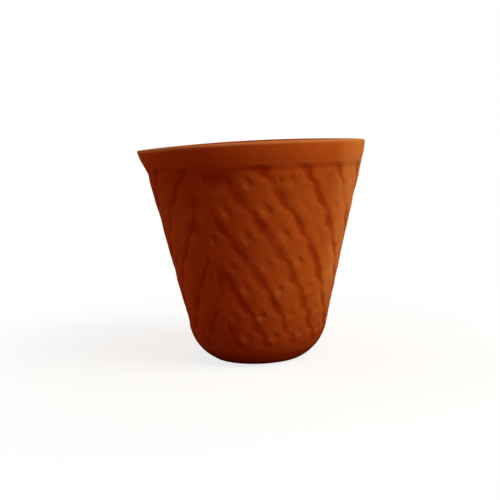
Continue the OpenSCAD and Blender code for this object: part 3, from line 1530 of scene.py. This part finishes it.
@dataclass
class BaseSlab(ClayPiece):
    """Bevelled foot and floor of the cup, cut off the wheel with a string."""

    columns: int = 480
    step: float = 0.3 * MM
    edge_step: float = 0.1 * MM
    floor_step: float = 0.55 * MM
    pole_r: float = 0.4 * MM
    edge_round: float = 0.5 * MM
    edge_inset: float = 0.2 * MM
    bevel_belly: float = 0.44 * MM
    # Lines of the string: where they fan out from, how they wander, and where they end at the edge
    string_depth: float = 0.16 * MM
    string_step: float = 1.25 * MM
    string_from: Point = (13 * MM, -34 * MM)
    wander: Point = (0.9, 0.7)
    wander_pace: Point = (310.0, 270.0)
    wander_start: float = 1.3
    string_fade: Point = (3 * MM, 1.2 * MM)
    # Heights between which the bevel is uneven, and radius where the floor's marks start
    bevel_low: Point = (0.1 * MM, 1.5 * MM)
    bevel_high: float = 2.5 * MM
    floor_fade: float = 5 * MM
    # Height within which a vertex lies on a level face
    level: float = 0.02 * MM

    def section(self) -> Section:
        """Half section: string-cut underside, bevel, ledge under the wall, floor with its fillet.

        Returns:
            Points as radius and height.
        """
        cup = self.cup
        edge_c = (cup.foot_r - self.edge_inset, self.edge_round)
        edge = arc(edge_c, self.edge_round, -math.pi / 2, -cup.foot_lean, self.edge_step)
        bevel = run(edge[-1], (cup.crease_r, cup.crease_z), self.step)
        fillet = arc(
            cup.fillet_centre, cup.floor_fillet, cup.fillet_bore, -math.pi / 2, self.floor_step)
        return [
            (0.0, 0.0),
            *run((self.pole_r, 0.0), edge[0], self.step),
            *edge[1:],
            *bulged(bevel, self.bevel_belly, -cup.foot_lean),
            (cup.bore_r, cup.crease_z),
            *fillet,
            *run(fillet[-1], (self.pole_r, cup.floor_z), self.floor_step),
            (0.0, cup.floor_z),
        ]

    def string_lines(self) -> Values:
        """Depth of the lines that the string leaves when the cup is cut off.

        Returns:
            Depth at each vertex, in metres.
        """
        x, y, _ = Wheel.points(self.piece).T
        away = np.hypot(x - self.string_from[0], y - self.string_from[1])
        wander = self.wander[0] * np.sin(x * self.wander_pace[0] + self.wander_start)
        wander = wander + self.wander[1] * np.sin(y * self.wander_pace[1])
        return self.string_depth * swell(np.cos(math.tau * away / self.string_step + wander))

    def build(self, lean: SoftLean) -> None:
        """Draws and turns the slab and marks its two faces.

        Args:
            lean: Lattice that the whole cup is eased by.
        """
        self.piece = Wheel.draw(self.name, self.section(), closed=False)
        Wheel.turn(self.piece, math.tau, self.columns)
        cup = self.cup
        angle, r, z = self.polar()
        string_end, string_edge = (cup.foot_r - inset for inset in self.string_fade)
        string = self.string_lines() * (1.0 - ease(string_end, string_edge, r))
        bevel = ease(*self.bevel_low, z) * (1.0 - ease(self.bevel_high, cup.crease_z, z))
        blend = ease(cup.fillet_centre[0], cup.bore_r, r)
        swirl = self.marks.swirl(angle, r) * (1.0 - blend) + self.rings(angle, z) * blend
        on_floor = z > cup.crease_z + self.level
        depth = np.where(z < self.level, string, self.marks.unevenness(angle, z) * bevel)
        depth = np.where(on_floor, swirl * ease(0.0, self.floor_fade, r), depth)
        Wheel.press(self.piece, depth)
        # The floor inside the cup gets painted shade
        Wheel.mark(self.piece, INSIDE_MARK, on_floor)
        lean.ease(self.piece)


# Studio

@dataclass(frozen=True)
class Lamp:
    """A soft lamp that looks at the cup; angles in degrees, from the camera and from level."""

    name: str
    turn: float
    rise: float
    distance: float
    size: float
    power: float
    colour: Colour = WHITE

    def add(self, target: Vector) -> None:
        """Adds the lamp.

        Args:
            target: Point that the lamp looks at.
        """
        turn = VIEW_TURN + math.radians(self.turn)
        rise = math.radians(self.rise)
        level = math.cos(rise)
        ray = Vector((math.sin(turn) * level, -math.cos(turn) * level, math.sin(rise)))
        bpy.ops.object.select_all(action="DESELECT")
        bpy.ops.object.light_add(type="AREA", location=target + ray * self.distance)
        lamp = bpy.context.object
        lamp.name = self.name
        lamp.rotation_euler = (-ray).to_track_quat("-Z", "Y").to_euler()
        lamp.data.shape = "DISK"
        lamp.data.size = self.size
        lamp.data.energy = self.power
        lamp.data.color = self.colour


@dataclass
class Studio:
    """Pale floor, soft light of the room and soft lamps."""

    cup: CupSizes
    floor_size: float = 6.0
    floor_pale: Colour = (0.96, 0.97, 1.0)
    floor_bounce: Colour = (0.41, 0.21, 0.15)
    room: Colour = (0.42, 0.29, 0.19)
    shadow_share: float = 0.22
    shadow_reach: Point = (0.03, 0.16)
    lamps: tuple[Lamp, ...] = (
        Lamp("key_lamp", turn=60.0, rise=38.0, distance=0.7, size=0.45, power=4.8,
             colour=(1.0, 1.0, 0.88)),
        Lamp("left_lamp", turn=-115.0, rise=15.0, distance=0.8, size=0.6, power=2.27,
             colour=(0.91, 1.0, 0.94)),
    )

    @staticmethod
    def _seen(shader: Shader) -> Amount:
        """Share that is 1 for what the camera, gloss and clear things see directly.

        Args:
            shader: Node tree of the floor or the world.

        Returns:
            The share.
        """
        path = shader.node("ShaderNodeLightPath").outputs
        seen = Amount(shader, path["Is Camera Ray"])
        for ray in ("Is Glossy Ray", "Is Transmission Ray"):
            seen = seen + Amount(shader, path[ray])
        return seen.span(0.0, 1.0)

    def add_floor(self) -> None:
        """Adds the pale floor, which keeps the cup's shadow."""
        bpy.ops.object.select_all(action="DESELECT")
        bpy.ops.mesh.primitive_plane_add(size=self.floor_size, location=(0.0, 0.0, 0.0))
        floor = bpy.context.object
        floor.name = "floor"
        material = bpy.data.materials.new("pale_floor")
        shader = Shader(material)
        glow = shader.node("ShaderNodeEmission", {}, {"Color": opaque(WHITE), "Strength": 1.0})
        pale = shader.node("ShaderNodeBsdfDiffuse", {}, {"Color": opaque(self.floor_pale)})
        dim = shader.node("ShaderNodeBsdfDiffuse", {}, {"Color": opaque(self.floor_bounce)})
        away = shader.vector("LENGTH", shader.place()).outputs["Value"]
        near = 1 - Amount(shader, away).span(*self.shadow_reach)
        white = shader.node("ShaderNodeMixShader", {}, {
            0: near * self.shadow_share, 1: glow.outputs[0], 2: pale.outputs[0]})
        both = shader.node("ShaderNodeMixShader", {}, {
            0: self._seen(shader), 1: dim.outputs[0], 2: white.outputs[0]})
        shader.node("ShaderNodeOutputMaterial", {}, {"Surface": both.outputs[0]})
        floor.data.materials.append(material)

    def add_room(self) -> None:
        """Sets the soft light of the room, white where it is seen directly."""
        world = bpy.data.worlds.new("room")
        bpy.context.scene.world = world
        shader = Shader(world)
        tone = shader.tint(self._seen(shader), opaque(self.room), opaque(WHITE))
        light = shader.node("ShaderNodeBackground", {}, {"Color": tone, "Strength": 1.0})
        shader.node("ShaderNodeOutputWorld", {}, {"Surface": light.outputs[0]})

    def set_up(self) -> None:
        """Adds the floor, the room's light, the lamps and the plain view."""
        self.add_floor()
        self.add_room()
        target = Vector((0.0, 0.0, self.cup.height / 2))
        for lamp in self.lamps:
            lamp.add(target)
        bpy.context.scene.view_settings.view_transform = "Standard"


@dataclass(frozen=True)
class PhotoCamera:
    """Camera at the photograph's viewing angle."""

    turn: float = VIEW_TURN
    distance: float = 320 * MM
    height: float = 78.06 * MM
    aim_z: float = 38 * MM
    roll: float = -0.0355
    focal_px: float = 908.4
    middle_px: Point = (255.3, 248.4)
    frame_px: int = 500
    sensor_mm: float = 36.0
    nearest: float = 10 * MM

    def add(self) -> None:
        """Adds the camera and makes it the scene's own."""
        x = self.distance * math.sin(self.turn)
        y = -self.distance * math.cos(self.turn)
        spot = Vector((x, y, self.height))
        ahead = (Vector((0.0, 0.0, self.aim_z)) - spot).normalized()
        right = Vector((math.cos(self.turn), math.sin(self.turn), 0.0))
        up = right.cross(ahead)
        across = right * math.cos(self.roll) + up * math.sin(self.roll)
        upright = up * math.cos(self.roll) - right * math.sin(self.roll)
        turned = Matrix((across, upright, -ahead)).transposed().to_4x4()
        bpy.ops.object.select_all(action="DESELECT")
        bpy.ops.object.camera_add()
        camera = bpy.context.object
        camera.name = "photo_camera"
        camera.matrix_world = Matrix.Translation(spot) @ turned
        camera.data.sensor_width = self.sensor_mm
        camera.data.lens = self.focal_px / self.frame_px * self.sensor_mm
        half = self.frame_px / 2
        camera.data.shift_x = (half - self.middle_px[0]) / self.frame_px
        camera.data.shift_y = (self.middle_px[1] - half) / self.frame_px
        camera.data.clip_start = self.nearest
        bpy.context.scene.camera = camera


def main() -> None:
    """Builds the cup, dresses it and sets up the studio."""
    logging.basicConfig(level=logging.INFO, format="%(name)s: %(message)s")
    cup = CupSizes.from_frame()
    marks = HandMarks()
    lean = SoftLean(cup)
    lean.set_up()
    finish = FiredClay(cup.band_z).make()
    pieces: Sequence[ClayPiece] = (
        BaseSlab("foot_and_floor", "base_slab", cup, marks),
        WallPanel("pressed_wall_right", "wall_panel_right", cup, marks,
                  half=Half.RIGHT, bands=RIGHT_BANDS),
        WallPanel("pressed_wall_left", "wall_panel_left", cup, marks,
                  half=Half.LEFT, bands=LEFT_BANDS),
        RimBand("plain_rim_band", "rim_band", cup, marks),
    )
    for part in pieces:
        part.build(lean)
        part.dress(finish)
        log.info("%s stands for %s, %d faces", part.name, part.node, len(part.piece.data.polygons))
    lean.clear()
    Studio(cup).set_up()
    PhotoCamera().add()


if __name__ == "__main__":
    main()
